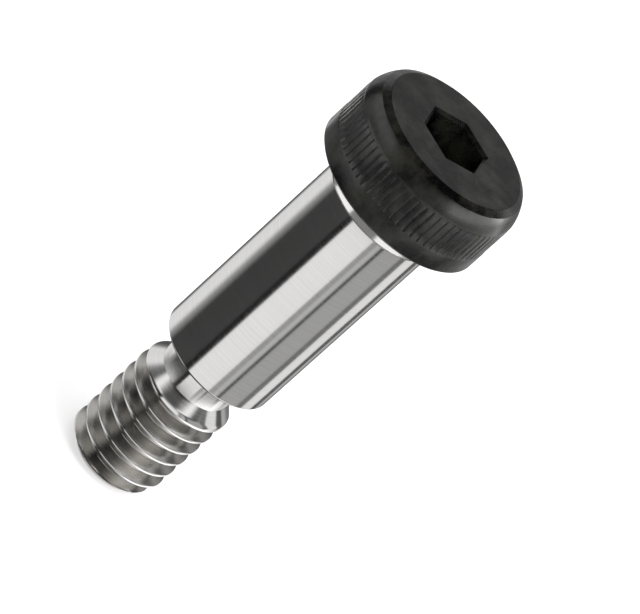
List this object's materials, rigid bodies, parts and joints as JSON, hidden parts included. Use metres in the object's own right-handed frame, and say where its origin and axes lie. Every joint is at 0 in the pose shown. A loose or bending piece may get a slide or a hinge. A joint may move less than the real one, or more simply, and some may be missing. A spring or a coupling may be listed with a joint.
{
  "type": "shoulder bolt",
  "caption": "Shoulder bolt with a knurled socket head, a long ground cylindrical shoulder and a shorter, narrower threaded end with a relief neck.",
  "frame": {"origin": "centre of the flat tip of the threaded end, on which the bolt stands", "axes": "+Z along the bolt's axis, from the threaded tip to the head; a corner of the hexagon socket points along -Y"},
  "size_m": [0.0142, 0.0142, 0.0386],
  "materials": {
    "steel": "black-oxidised head, bright ground shoulder, bright rolled thread"
  },
  "bodies": {
    "root": {"shoulder_bolt": "steel"}
  },
  "joints": []
}
